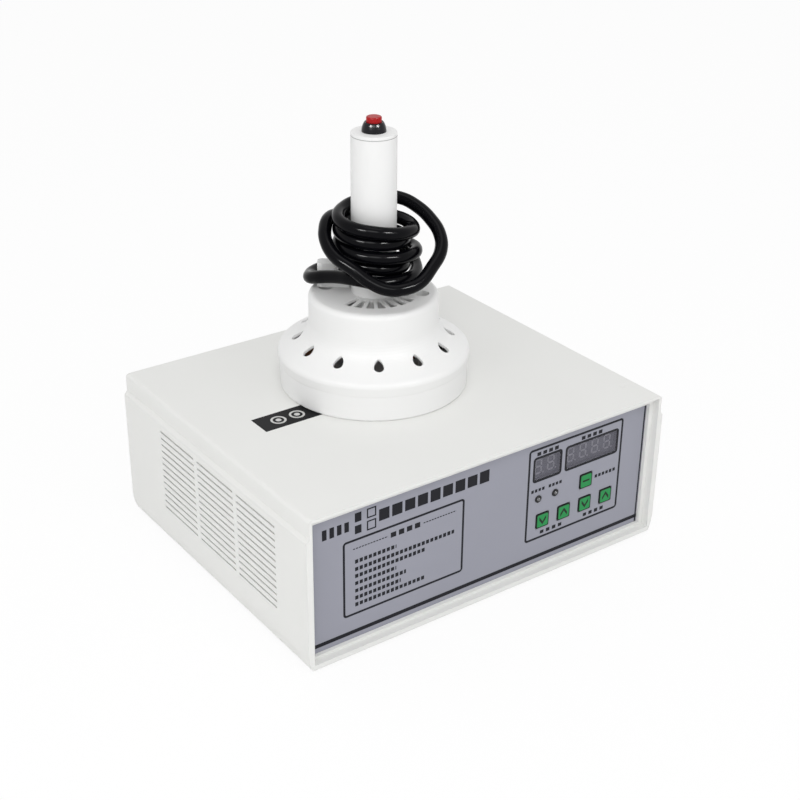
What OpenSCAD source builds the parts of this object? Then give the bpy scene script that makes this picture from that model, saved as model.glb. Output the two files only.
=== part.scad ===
// Induction cap sealer: louvred bench case with a hand-held sealing head resting on the lid.
// Millimetres, +Z up. The front edge of the case faces -Y. Origin under the middle of the case.

/* [Case] */
// Outside width across the side walls
case_w = 325; // [317:1:345]
// Depth from the front edge to the rear edge
case_d = 266; // [262:1:290]
// Height of the closed case without its feet
case_h = 121; // [119:1:131]
// Thickness of the side walls at the front and rear edges
wall_t = 5; // [4.5:0.1:5.5]
// Thickness of the floor
floor_t = 4; // [3:0.5:5]
// Height of the skirts of the lid
skirt_h = 14; // [12:1:17]
// Thickness of the lid
cover_t = 2.5; // [2:0.1:3]
// How far the panels stand behind the case edges
recess = 9; // [8:0.5:11]
// Height of the rubber feet
foot_h = 3; // [2:0.5:5]

/* [Side louvres] */
// Length of one louvre slot
slot_len = 52; // [44:1:55]
// Height of one louvre slot
slot_h = 1.6; // [1.2:0.1:2.4]
// Slots in one column
slot_rows = 13; // [8:1:13]

/* [Front panel] */
// Thickness of the panel plates
panel_t = 2; // [1.6:0.1:2.4]
// Thickness of the printed film
overlay_t = 0.5; // [0.3:0.1:0.6]
// Side length of a key
key_size = 12; // [9:0.5:12.5]
// How far a key stands out of the film
key_proud = 0.7; // [0.6:0.1:1.5]
// Travel of a key
key_travel = 0.5; // [0.3:0.1:0.6]
// Height of the display windows
window_h = 18.5; // [16:0.5:20]
// Diameter of the lamp rings
led_ring_d = 6; // [5:0.5:7]

/* [Head] */
// Head axis, sideways from the middle of the case
head_x = -4.9; // [-20:0.1:20]
// Head axis, backwards from the middle of the case
head_y = 16.6; // [0:0.1:20]
// Largest radius of the head
head_r = 74; // [72:0.5:80]
// Height of the tray at the foot of the head
ring_h = 20; // [18:0.5:22]
// Height of the flat top of the head
head_h = 74.5; // [72:0.5:80]
// Radius of the neck
neck_r = 49.7; // [48.5:0.1:51]
// Vents round the flare
vent_count = 12; // [8:1:14]
// Slots in the grille round the handle
grille_slots = 24; // [16:1:26]

/* [Handle] */
// Radius of the handle tube
handle_r = 17; // [16:0.1:18]
// Handle length from the head top to its cap
handle_len = 121; // [100:1:140]
// Radius of the trigger button
button_r = 5.7; // [5:0.1:5.9]
// Travel of the trigger button
button_travel = 2.5; // [1.5:0.1:2.5]

/* [Rear panel] */
// Side length of the fan
fan_size = 80; // [70:1:80]
// Depth of the fan
fan_t = 25; // [20:1:25]

/* [Cord] */
// Diameter of the head cord
cord_d = 10; // [8:0.2:10]

/* [Hidden] */
$fn = 64;

// clearances
run_gap = 0.3;
fit_gap = 0.05;
eps = 0.01;

// case levels and planes
hw = case_w / 2;
cover_step = 2.5;
cw = hw - cover_step;
iw = hw - wall_t;
z0 = foot_h;
zf = z0 + floor_t;
z_top = z0 + case_h;
z_seam = z_top - skirt_h;
z_under = z_top - cover_t;
y_front = -case_d / 2;
y_rear = case_d / 2;
flank_h = 16;
flank_in = 3.5;
flank_r = (flank_h * flank_h + flank_in * flank_in) / (2 * flank_in);
flank_a = asin(flank_h / flank_r);
step_h = 3;
cover_edge_r = 3;
relief = 2;

// panel slots
rib_t = 3;
rib_w = 3.8;
rib_drop = 5.5;
sill_h = 2.2;
y_face = y_front + recess;
y_plate = y_face + overlay_t;
y_back = y_plate + panel_t;
y_out = y_rear - recess;
y_in = y_out - panel_t;
panel_w = 2 * (iw - run_gap);
panel_top = z_under - 0.5;

// case screws
post_x = iw - 11.5;
post_y = case_d / 2 - 29;
post_split = zf + 40;
post_r = 6.5;
cover_post_r = 5;
screw_seat = z0 + 30;
screw_r = 1.9;
screw_head_r = 3.6;
screw_head_h = 2.8;
screw_bite = 12;

// feet
foot_r = 9;
foot_x = hw - 30;
foot_y = case_d / 2 - 55;

// louvres
slot_cols = 3;
slot_pitch_y = 57;
slot_pitch_z = 5.5;
slot_z0 = 31;
slot_y = -9.5;

// label in the lid
label_x0 = 43.5 - hw;
label_x1 = 132.5 - hw;
label_y0 = -11.4;
label_y1 = 10.6;
label_t = 0.4;

function arc_pts(cx, cy, r, a0, a1, n) =
  [for (i = [0:n]) [cx + r * cos(a0 + (a1 - a0) * i / n), cy + r * sin(a0 + (a1 - a0) * i / n)]];
function flipped(pts) = [for (i = [len(pts) - 1:-1:0]) [-pts[i][0], pts[i][1]]];
function reversed(pts) = [for (i = [len(pts) - 1:-1:0]) pts[i]];

// rectangle with true round corners, centred
module round_rect(w, h, r) {
  square([w - 2 * r, h], center = true);
  square([w, h - 2 * r], center = true);
  for (sx = [-1, 1], sy = [-1, 1])
    translate([sx * (w / 2 - r), sy * (h / 2 - r)])
      circle(r = r, $fn = 32);
}

// drawing in (x, z) made into a plate from y0 to y0 + t
module plate_y(y0, t) {
  translate([0, y0 + t, 0])
    rotate([90, 0, 0])
      linear_extrude(height = t)
        children();
}

// cylinder along +Y from y0
module rod_y(x, z, y0, r, l) {
  translate([x, y0, z])
    rotate([-90, 0, 0])
      cylinder(r = r, h = l);
}

// box between two corners
module block(p, q) {
  translate(p)
    cube(q - p);
}

module at_posts() {
  for (sx = [-1, 1], sy = [-1, 1])
    translate([sx * post_x, sy * post_y, 0])
      children();
}

// base shell: floor, louvred side walls, panel ribs and bosses in one moulding
module base_profile() {
  right = concat(
    arc_pts(hw - flank_r, z0 + flank_h, flank_r, -flank_a, 0, 8),
    [[hw, z_seam - step_h], [cw, z_seam], [iw, z_seam], [iw, zf]]);
  polygon(concat(right, flipped(right)));
}

module wall_ribs(y0, zlow, zhigh) {
  for (s = [-1, 1])
    translate([s > 0 ? iw - rib_w : -iw - eps, y0, zlow])
      cube([rib_w + eps, rib_t, zhigh - zlow]);
}

module base_shell() {
  color("white")
    difference() {
      union() {
        difference() {
          plate_y(y_front, case_d)
            base_profile();
          for (s = [-1, 1])
            translate([s > 0 ? iw - 1 : -iw - relief, -post_y - 4, zf + 9])
              cube([relief + 1, 2 * post_y + 8, z_seam - zf - 15]);
        }
        for (y0 = [y_face - rib_t, y_back, y_out, y_in - rib_t])
          wall_ribs(y0, zf - eps, z_seam);
        for (y0 = [y_back, y_in - rib_t])
          translate([-iw, y0, zf - eps])
            cube([2 * iw, rib_t, 3]);
        for (y0 = [y_face - rib_t, y_out])
          translate([-iw, y0, zf - eps])
            cube([2 * iw, rib_t, sill_h + eps]);
        at_posts()
          translate([0, 0, zf - eps])
            cylinder(r = post_r, h = post_split - zf + eps);
        at_power_holes()
          translate([0, 0, zf - eps])
            cylinder(r = 4, h = power_lift + eps);
      }
      for (i = [0:slot_cols - 1], j = [0:slot_rows - 1])
        translate([0, slot_y + (i - (slot_cols - 1) / 2) * slot_pitch_y, z0 + slot_z0 + j * slot_pitch_z])
          cube([case_w + 20, slot_len, slot_h], center = true);
      at_posts() {
        translate([0, 0, z0 - 1])
          cylinder(r = 4.6, h = screw_seat - z0 + 1);
        translate([0, 0, screw_seat - 1])
          cylinder(r = 2.2, h = post_split - screw_seat + 2);
      }
      at_power_holes()
        translate([0, 0, zf + 1])
          cylinder(r = 1.45, h = power_lift);
    }
}

// lid: flat top, short skirts, rounded long edges, panel ribs, locating tongues and screw posts
module cover_profile() {
  difference() {
    union() {
      translate([-cw, z_seam])
        square([2 * cw, skirt_h - cover_edge_r]);
      translate([-cw + cover_edge_r, z_seam])
        square([2 * (cw - cover_edge_r), skirt_h]);
      for (s = [-1, 1])
        translate([s * (cw - cover_edge_r), z_top - cover_edge_r])
          circle(r = cover_edge_r);
    }
    translate([-iw, z_seam - 1])
      square([2 * iw, z_under - z_seam + 1]);
  }
}

module top_cover() {
  tongue_t = 2;
  tongue_gap = 0.2;
  tongue_l = case_d - 2 * recess - 40;
  color("white")
    difference() {
      union() {
        plate_y(y_front, case_d)
          cover_profile();
        for (y0 = [y_face - rib_t, y_back, y_out, y_in - rib_t]) {
          wall_ribs(y0, z_seam, z_under + eps);
          translate([-iw - eps, y0, z_under - rib_drop])
            cube([2 * iw + 2 * eps, rib_t, rib_drop + eps]);
        }
        for (s = [-1, 1]) {
          translate([s > 0 ? iw - tongue_gap - tongue_t : -iw + tongue_gap, -tongue_l / 2, z_seam - 4])
            cube([tongue_t, tongue_l, 10]);
          translate([s > 0 ? iw - tongue_t : -iw - eps, -tongue_l / 2, z_seam])
            cube([tongue_t + eps, tongue_l, 6]);
        }
        at_posts()
          translate([0, 0, post_split])
            cylinder(r = cover_post_r, h = z_under - post_split + eps);
      }
      at_posts()
        translate([0, 0, post_split - 1])
          cylinder(r = screw_r + fit_gap, h = screw_bite + 4);
      block([label_x0, label_y0, z_top - label_t], [label_x1, label_y1, z_top + 1]);
    }
}

module cover_label() {
  color("black")
    block([label_x0, label_y0, z_top - label_t], [label_x1, label_y1, z_top]);
}

module rubber_feet() {
  color("dimgray")
    for (sx = [-1, 1], sy = [-1, 1])
      translate([sx * foot_x, sy * foot_y, 0])
        cylinder(r1 = foot_r - 1, r2 = foot_r, h = foot_h);
}

module case_screws() {
  color("silver")
    at_posts()
      difference() {
        union() {
          translate([0, 0, screw_seat - screw_head_h])
            cylinder(r = screw_head_r, h = screw_head_h);
          translate([0, 0, screw_seat - eps])
            cylinder(r = screw_r, h = post_split - screw_seat + screw_bite);
        }
        translate([0, 0, screw_seat - screw_head_h - 1])
          cylinder(r = 1.6, h = 2.4, $fn = 4);
      }
}

/* [Hidden] */
// front panel layout: x from the middle of the controls, z from the case underside
ctrl_in = 79.5;
ctrl_x = hw - ctrl_in;
time_x = ctrl_x - 28.25;
time_w = 25.1;
count_x = ctrl_x + 15.95;
count_w = 50.9;
window_z = z0 + 88.8;
window_lip = 1.5;
window_lip_t = 1;
led_x = [ctrl_x - 35.9, ctrl_x - 19.2];
led_z = z0 + 63.1;
led_r = 1.5;
led_sleeve_r = 2.2;
key_row_z = z0 + 43;
key_minus_at = [ctrl_x + 11.7, z0 + 63.5];
key_time_down_at = [ctrl_x - 30.6, key_row_z];
key_time_up_at = [ctrl_x - 9.4, key_row_z];
key_count_down_at = [ctrl_x + 12, key_row_z];
key_count_up_at = [ctrl_x + 33.5, key_row_z];
key_spots = [key_minus_at, key_time_down_at, key_time_up_at, key_count_down_at, key_count_up_at];
key_corner_r = 1;
key_flange = 1.5;
key_flange_t = 1;
board_gap = 9;
board_t = 1.6;
y_board = y_back + board_gap;
board_x = [ctrl_x - 49, ctrl_x + 51];
board_z = [z0 + 26, z0 + 107];
board_inset = 3.2;
tact_body = 3.5;
tact_plunger = 1;

module panel_outline() {
  translate([-panel_w / 2, zf])
    square([panel_w, panel_top - zf]);
}

module at_board_holes() {
  for (x = [board_x[0] + board_inset, board_x[1] - board_inset],
       z = [board_z[0] + board_inset, board_z[1] - board_inset])
    translate([x, 0, z])
      children();
}

module panel_holes(led_hole_r) {
  for (w = [[time_x, time_w], [count_x, count_w]])
    translate([w[0], window_z])
      square([w[1], window_h], center = true);
  for (x = led_x)
    translate([x, led_z])
      circle(r = led_hole_r, $fn = 32);
  for (k = key_spots)
    translate(k)
      square(key_size + 2 * run_gap, center = true);
}

module front_panel() {
  color("gainsboro")
    difference() {
      union() {
        plate_y(y_plate, panel_t)
          difference() {
            panel_outline();
            panel_holes(led_sleeve_r + fit_gap);
          }
        at_board_holes()
          rod_y(0, 0, y_back - eps, 3, board_gap + eps);
      }
      at_board_holes()
        rod_y(0, 0, y_back + 2, 1.15, board_gap);
    }
}

module panel_overlay() {
  color("lightsteelblue")
    plate_y(y_face, overlay_t)
      difference() {
        panel_outline();
        panel_holes(led_sleeve_r + fit_gap);
      }
}

module display_window(x, w) {
  translate([x, 0, window_z]) {
    plate_y(y_face + 0.1, y_back - y_face - 0.1 + eps)
      square([w - 2 * fit_gap, window_h - 2 * fit_gap], center = true);
    plate_y(y_back, window_lip_t)
      square([w + 2 * window_lip, window_h + 2 * window_lip], center = true);
  }
}

module time_window() {
  color([0.3, 0.3, 0.34])
    display_window(time_x, time_w);
}

module count_window() {
  color([0.3, 0.3, 0.34])
    display_window(count_x, count_w);
}

module display_module(x, w) {
  y0 = y_back + window_lip_t;
  color("dimgray")
    translate([x, 0, window_z])
      plate_y(y0, y_board - y0)
        round_rect(w - 0.4, window_h, 0.6);
}

module time_display() {
  display_module(time_x, time_w);
}

module count_display() {
  display_module(count_x, count_w);
}

module led_rings() {
  color("black")
    for (x = led_x)
      difference() {
        union() {
          rod_y(x, led_z, y_face - 0.6, led_ring_d / 2, 0.6);
          rod_y(x, led_z, y_face - eps, led_sleeve_r, y_back - y_face + 1 + eps);
        }
        rod_y(x, led_z, y_face - 2, led_r + fit_gap, y_back - y_face + 4);
      }
}

module led_lamp(x) {
  y1 = y_back + 1;
  color("lightgray") {
    rod_y(x, led_z, y_face - 0.6, led_r, y1 - y_face + 0.6 + eps);
    difference() {
      translate([x, y_face - 0.6, led_z])
        sphere(r = led_r, $fn = 32);
      translate([x - 3, y_face - 0.6 + eps, led_z - 3])
        cube([6, 4, 6]);
    }
    rod_y(x, led_z, y1, led_r + 0.4, 1);
    for (s = [-1, 1])
      translate([x + s * 0.8 - 0.25, y1 + 1 - eps, led_z - 0.25])
        cube([0.5, y_board - y1 - 1 + eps, 0.5]);
  }
}

module power_led() {
  led_lamp(led_x[0]);
}

module work_led() {
  led_lamp(led_x[1]);
}

// key: square cap through film and panel, flange behind the panel, post towards its switch
module key_cap(spot) {
  post_end = y_board - tact_body - tact_plunger - key_travel - 0.1;
  color("limegreen")
    translate([spot[0], 0, spot[1]]) {
      plate_y(y_face - key_proud, y_back - y_face + key_proud + eps)
        round_rect(key_size, key_size, key_corner_r);
      plate_y(y_back, key_flange_t)
        square(key_size + 2 * key_flange, center = true);
      rod_y(0, 0, y_back + key_flange_t - eps, 2, post_end - y_back - key_flange_t + eps);
    }
}

module key_minus() {
  key_cap(key_minus_at);
}

module key_time_down() {
  key_cap(key_time_down_at);
}

module key_time_up() {
  key_cap(key_time_up_at);
}

module key_count_down() {
  key_cap(key_count_down_at);
}

module key_count_up() {
  key_cap(key_count_up_at);
}

module key_switches() {
  color("dimgray")
    for (k = key_spots)
      translate([k[0], 0, k[1]]) {
        plate_y(y_board - tact_body, tact_body)
          square(6, center = true);
        rod_y(0, 0, y_board - tact_body - tact_plunger, 1.75, tact_plunger + eps);
      }
}

module control_board() {
  color("darkgreen")
    difference() {
      block([board_x[0], y_board, board_z[0]], [board_x[1], y_board + board_t, board_z[1]]);
      at_board_holes()
        rod_y(0, 0, y_board - 1, 1.6, board_t + 2);
    }
}

module board_screws() {
  color("silver")
    at_board_holes() {
      rod_y(0, 0, y_board + board_t, 2.5, 1.8);
      rod_y(0, 0, y_board - 5, 1.1, board_t + 5 + eps);
    }
}

// power electronics on the floor
power_x = [-135, 45];
power_y = [-80, 60];
power_lift = 6;
power_inset = 6;
z_power = zf + power_lift;
z_parts = z_power + board_t;
sink_x = [-120, -10];
sink_y = 12;
sink_base = 6;
sink_fin = 30;
sink_h = 50;
sink_fins = 11;

module at_power_holes() {
  for (x = [power_x[0] + power_inset, power_x[1] - power_inset],
       y = [power_y[0] + power_inset, power_y[1] - power_inset])
    translate([x, y, 0])
      children();
}

module power_board() {
  color("darkgreen")
    difference() {
      block([power_x[0], power_y[0], z_power], [power_x[1], power_y[1], z_parts]);
      at_power_holes()
        translate([0, 0, z_power - 1])
          cylinder(r = 1.8, h = board_t + 2);
    }
}

module power_screws() {
  color("silver")
    at_power_holes() {
      translate([0, 0, z_parts])
        cylinder(r = 3, h = 2);
      translate([0, 0, zf + 2])
        cylinder(r = 1.4, h = z_parts - zf - 2 + eps);
    }
}

module heat_sink() {
  fin_pitch = (sink_x[1] - sink_x[0] - 2) / (sink_fins - 1);
  color("silver") {
    block([sink_x[0], sink_y, z_parts], [sink_x[1], sink_y + sink_base, z_parts + sink_h]);
    for (i = [0:sink_fins - 1])
      translate([sink_x[0] + i * fin_pitch, sink_y + sink_base - eps, z_parts])
        cube([2, sink_fin + eps, sink_h]);
  }
}

module transistors() {
  color("black")
    for (x = [-100, -65, -30]) {
      block([x - 8, sink_y - 5, z_parts + 10], [x + 8, sink_y, z_parts + 31]);
      for (s = [-1, 0, 1])
        translate([x + s * 5.4 - 0.6, sink_y - 3.3, z_parts])
          cube([1.2, 0.6, 10 + eps]);
    }
}

module bus_capacitors() {
  color("midnightblue")
    for (x = [-108, -72])
      translate([x, -45, z_parts])
        rotate_extrude()
          polygon(concat([[0, 0], [15, 0], [15, 3], [14.2, 4], [15, 5]],
            arc_pts(13.5, 43.5, 1.5, 0, 90, 4), [[0, 45]]));
}

module resonant_capacitors() {
  color("gold")
    for (y = [-70, -44])
      translate([-24, y + 9, z_parts])
        linear_extrude(height = 28)
          round_rect(34, 18, 2);
}

module choke() {
  color("sienna")
    translate([18, -45, z_parts]) {
      cylinder(r = 25, h = 3);
      translate([0, 0, 10])
        rotate_extrude()
          translate([17, 0])
            circle(r = 8);
    }
}

module drive_transformer() {
  color("dimgray")
    translate([18, 25, z_parts]) {
      translate([-18, -6, 0])
        cube([36, 12, 30]);
      translate([-11, -14, 4])
        cube([22, 28, 22]);
      translate([-16, -14, 0])
        cube([32, 28, 4 + eps]);
    }
}

/* [Hidden] */
// rear panel layout
fan_in = 77.5;
fan_at = [fan_in - hw, z0 + 60];
fan_pitch = fan_size - 8.5;
fan_bore = fan_size / 2 - 2;
fan_hub_r = 16.5;
fan_blades = 7;
inlet_in = 47.5;
inlet_at = [hw - inlet_in, z0 + 60];
fuse_at = [-18, z0 + 60];
rocker_at = [20, z0 + 60];
gland_at = [70, z0 + 82];
gland_l = 22;
rocker_tilt = 10;
rocker_r = 8;
rocker_w = 10;
y_pivot = y_out + 0.5;
rocker_cav = [rocker_w + 2 * run_gap, 2 * rocker_r + 0.8];

module at_fan_holes() {
  for (sx = [-1, 1], sz = [-1, 1])
    translate([fan_at[0] + sx * fan_pitch / 2, 0, fan_at[1] + sz * fan_pitch / 2])
      children();
}

module rear_panel() {
  color("gainsboro")
    difference() {
      plate_y(y_in, panel_t)
        difference() {
          panel_outline();
          translate(fan_at)
            circle(r = fan_bore);
          translate(inlet_at)
            square([27.6, 20.4], center = true);
          translate(fuse_at)
            circle(r = 6.6, $fn = 32);
          translate(rocker_at)
            square([13.6, 20.4], center = true);
          translate(gland_at)
            circle(r = 8.1, $fn = 32);
        }
      at_fan_holes()
        rod_y(0, 0, y_in - 1, 2.2, panel_t + 2);
    }
}

module fan_frame() {
  color("black")
    difference() {
      union() {
        translate([fan_at[0], 0, fan_at[1]])
          plate_y(y_in - fan_t, fan_t)
            difference() {
              round_rect(fan_size, fan_size, 4);
              circle(r = fan_bore);
            }
        translate([fan_at[0], 0, fan_at[1]]) {
          rod_y(0, 0, y_in - fan_t, fan_hub_r, 3);
          for (a = [45, 135])
            plate_y(y_in - fan_t, 3)
              rotate(a)
                square([2 * fan_bore + 1, 4], center = true);
        }
      }
      at_fan_holes()
        rod_y(0, 0, y_in - fan_t - 1, 2.1, fan_t + 2);
      rod_y(fan_at[0], fan_at[1], y_in - fan_t + 1, 1.55, 4);
    }
}

module fan_rotor() {
  y0 = y_in - fan_t + 3.5;
  rotor_l = fan_t - 5.5;
  color("black")
    translate([fan_at[0], y0, fan_at[1]])
      rotate([-90, 0, 0]) {
        cylinder(r = fan_hub_r, h = rotor_l);
        translate([0, 0, -2])
          cylinder(r = 1.5, h = 3);
        intersection() {
          for (k = [0:fan_blades - 1])
            rotate(k * 360 / fan_blades)
              translate([fan_hub_r - 4, 0, rotor_l / 2])
                rotate([50, 0, 0])
                  translate([0, -0.8, -10])
                    cube([fan_bore, 1.6, 20]);
          cylinder(r = fan_bore - 0.8, h = rotor_l);
        }
      }
}

module fan_guard() {
  reach = fan_pitch / sqrt(2);
  color("silver")
    difference() {
      union() {
        translate([fan_at[0], y_out, fan_at[1]])
          rotate([-90, 0, 0]) {
            for (r = [12, 20.5, 29, 37.5])
              translate([0, 0, 2.4])
                rotate_extrude()
                  translate([r * fan_size / 80, 0])
                    circle(r = 0.9, $fn = 24);
            for (a = [45, 135])
              rotate(a)
                translate([-reach, 0, 1.1])
                  rotate([0, 90, 0])
                    cylinder(r = 1.1, h = 2 * reach, $fn = 24);
          }
        at_fan_holes()
          rod_y(0, 0, y_out, 4.2, 2.2);
      }
      at_fan_holes()
        rod_y(0, 0, y_out - 1, 2.2, 5);
    }
}

module fan_screws() {
  color("silver")
    at_fan_holes() {
      rod_y(0, 0, y_out + 2.2, 3.8, 2.2);
      rod_y(0, 0, y_in - fan_t + 4, 2, y_out + 2.2 - y_in + fan_t - 4 + eps);
    }
}

// appliance inlet, snapped into the rear panel
inlet_cav = [24.6, 16.6];
inlet_cav_deep = 17;
inlet_flange = 2.5;
inlet_floor = y_out + inlet_flange - inlet_cav_deep;
pin_size = [2, 4];

module at_pins() {
  for (p = [[-7, -2], [0, 2], [7, -2]])
    translate([inlet_at[0] + p[0], 0, inlet_at[1] + p[1]])
      children();
}

module mains_inlet() {
  color("black")
    difference() {
      translate([inlet_at[0], 0, inlet_at[1]]) {
        plate_y(y_out, inlet_flange)
          round_rect(31, 25, 2);
        plate_y(inlet_floor - 5, y_out - inlet_floor + 5 + eps)
          square([27.4, 20.2], center = true);
      }
      translate([inlet_at[0], 0, inlet_at[1]])
        plate_y(inlet_floor, inlet_cav_deep + 1)
          polygon([[-inlet_cav[0] / 2, -inlet_cav[1] / 2], [inlet_cav[0] / 2, -inlet_cav[1] / 2],
            [inlet_cav[0] / 2, inlet_cav[1] / 2 - 5], [inlet_cav[0] / 2 - 5, inlet_cav[1] / 2],
            [-inlet_cav[0] / 2 + 5, inlet_cav[1] / 2], [-inlet_cav[0] / 2, inlet_cav[1] / 2 - 5]]);
      at_pins()
        plate_y(inlet_floor - 6, 8)
          square(pin_size + [0.1, 0.1], center = true);
    }
}

module inlet_pins() {
  color("silver")
    at_pins() {
      plate_y(inlet_floor - 5, 16)
        square(pin_size, center = true);
      plate_y(inlet_floor - 13, 8 + eps)
        square([0.8, 6], center = true);
      plate_y(inlet_floor - 6, 1)
        square(pin_size + [1, 1.4], center = true);
    }
}

module fuse_holder() {
  color("black")
    difference() {
      union() {
        rod_y(fuse_at[0], fuse_at[1], y_in - 26, 6.5, y_out - y_in + 26 + eps);
        rod_y(fuse_at[0], fuse_at[1], y_out, 8.5, 2);
        rod_y(fuse_at[0], fuse_at[1], y_out + 2 - eps, 6.2, 5);
        rod_y(fuse_at[0], fuse_at[1], y_in - 4, 8.5, 4);
      }
      translate([fuse_at[0] - 8, y_out + 5.6, fuse_at[1] - 0.6])
        cube([16, 3, 1.2]);
    }
}

module rocker_frame() {
  color("black")
    difference() {
      translate([rocker_at[0], 0, rocker_at[1]]) {
        plate_y(y_out, 2)
          round_rect(16, 23, 1);
        plate_y(y_out - 15, 15 + eps)
          square([13.4, 20.2], center = true);
        for (s = [-1, 1])
          plate_y(y_out - 23, 8 + eps)
            translate([0, s * 5])
              square([4.8, 0.8], center = true);
      }
      translate([rocker_at[0], 0, rocker_at[1]])
        plate_y(y_pivot - 7, 12)
          square(rocker_cav, center = true);
      translate([rocker_at[0] - 6.4, y_pivot, rocker_at[1]])
        rotate([0, 90, 0])
          cylinder(r = 1.05, h = 12.8, $fn = 32);
    }
}

module rocker() {
  color("black")
    translate([rocker_at[0], y_pivot, rocker_at[1]])
      rotate([rocker_tilt, 0, 0]) {
        intersection() {
          translate([-rocker_w / 2, 0, 0])
            rotate([90, 0, 90])
              linear_extrude(height = rocker_w)
                polygon([[-4, -9], [3.4, -9], [1.9, 0], [3.4, 9], [-4, 9]]);
          translate([-rocker_w / 2 - 1, 0, 0])
            rotate([0, 90, 0])
              cylinder(r = rocker_r, h = rocker_w + 2);
        }
        translate([-6.2, 0, 0])
          rotate([0, 90, 0])
            cylinder(r = 1, h = 12.4, $fn = 32);
      }
}

module cord_gland() {
  color("black")
    translate([gland_at[0], y_out, gland_at[1]])
      rotate([-90, 0, 0]) {
        cylinder(r = 11, h = 5, $fn = 6);
        translate([0, 0, -panel_t - 12])
          cylinder(r = 8, h = panel_t + 12 + eps);
        translate([0, 0, -panel_t - 4])
          cylinder(r = 11, h = 4, $fn = 6);
        rotate_extrude()
          polygon(concat([[0, 4], [9.4, 4], [9.4, 13]], arc_pts(6.4, 17, 3, 10, 80, 4),
            [[cord_d / 2 + 1, gland_l], [0, gland_l]]));
      }
}

/* [Hidden] */
// head: a tray and a revolved dome, heights counted from the lid
head_wall = 2.2;
shoulder_r = 5.4;
lip_r = head_r - 1 - head_wall - run_gap;
flare_a = 28;
fillet_r = 18;
top_edge_r = 4.5;
sh_x = head_r - shoulder_r;
sh_z = ring_h + 6.6;
fl_n = [sin(flare_a), cos(flare_a)];
fl_p = [sh_x + shoulder_r * fl_n[0], sh_z + shoulder_r * fl_n[1]];
fi_x = neck_r + fillet_r;
fi_z = fl_p[1] + (fillet_r - fl_n[0] * (fi_x - fl_p[0])) / fl_n[1];
vent_r = head_r - 14.6;
vent_z = fl_p[1] + (fl_p[0] - vent_r) * tan(flare_a);
vent_disc_r = 3.7;
vent_tip = 7.3;
vent_side_r = (vent_tip * vent_tip + vent_disc_r * vent_disc_r) / (2 * vent_disc_r);
vent_side_a = asin(vent_tip / vent_side_r) - 3;
vent_phase = -1;
grille_in = handle_r + 3.5;
grille_out = 35;
grille_rib = 3;
grille_phase = 5.7;
block_turn = -36;
block_from = 119;
block_to = 192;
well_ring = head_r / 2;
well_a = [-44, 136];
well_r = 5.3;
well_z = head_h - 15.5;
boss_r = 5;
tube_t = 2.5;
tube_sink = 14;
cap_z = head_h + handle_len;
cap_t = 2.5;
cap_top = cap_z + cap_t;
sleeve_r = 6;
sleeve_l = 20;
stem_r = 3;
bezel_h = 7;
bezel_bore = button_r + 0.4;
button_z0 = cap_top + 4.5;
button_z1 = cap_top + 11;

module at_head() {
  translate([head_x, head_y, z_top])
    children();
}

module at_wells() {
  for (a = well_a)
    rotate(a)
      translate([well_ring, 0, 0])
        children();
}

module head_base() {
  color("white")
    at_head()
      difference() {
        union() {
          rotate_extrude($fn = 128)
            polygon([[0, 0], [head_r - 2.8, 0], [head_r - 1.8, 1], [head_r - 1, ring_h],
              [lip_r, ring_h], [lip_r, ring_h + 3], [head_r - 6.5, ring_h + 3],
              [head_r - 6.5, ring_h - 3], [head_r - 5, ring_h - 4.5], [head_r - 5, 3], [0, 3]]);
          at_wells()
            translate([0, 0, 3 - eps])
              cylinder(r = boss_r, h = well_z - 3 - 3 + eps);
        }
        at_wells()
          translate([0, 0, well_z - 24])
            cylinder(r = 1.75, h = 30);
      }
}

// dome profile: skirt, rounded shoulder, flare, hollow fillet, neck and rounded top edge
module dome_profile() {
  outer = concat([[head_r - 1, ring_h]],
    arc_pts(sh_x, sh_z, shoulder_r, 0, 90 - flare_a, 6),
    reversed(arc_pts(fi_x, fi_z, fillet_r, 180, 270 - flare_a, 8)),
    arc_pts(neck_r - top_edge_r, head_h - top_edge_r, top_edge_r, 0, 90, 6));
  inner = concat([[handle_r + fit_gap, head_h - head_wall]],
    [[neck_r - head_wall, head_h - head_wall]],
    arc_pts(fi_x, fi_z, fillet_r + head_wall, 180, 270 - flare_a, 8),
    reversed(arc_pts(sh_x, sh_z, shoulder_r - head_wall, 0, 90 - flare_a, 6)),
    [[head_r - 1 - head_wall, ring_h]]);
  polygon(concat(outer, [[handle_r + fit_gap, head_h]], inner));
}

module vent_shape() {
  side = arc_pts(vent_disc_r - vent_side_r, 0, vent_side_r, 0, vent_side_a, 6);
  circle(r = vent_disc_r, $fn = 32);
  polygon(concat(side, flipped(side)));
}

module grille_slot(r_out) {
  half = 180 / grille_slots;
  w0 = grille_in * sin(half) - grille_rib / 2;
  w1 = r_out * sin(half) - grille_rib / 2;
  polygon([[grille_in, -w0], [r_out - 0.6, -w1], [r_out, -w1 + 0.6], [r_out, w1 - 0.6],
    [r_out - 0.6, w1], [grille_in, w0]]);
}

function gap_a(a, b) = abs(((a - b + 540) % 360) - 180);

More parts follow.
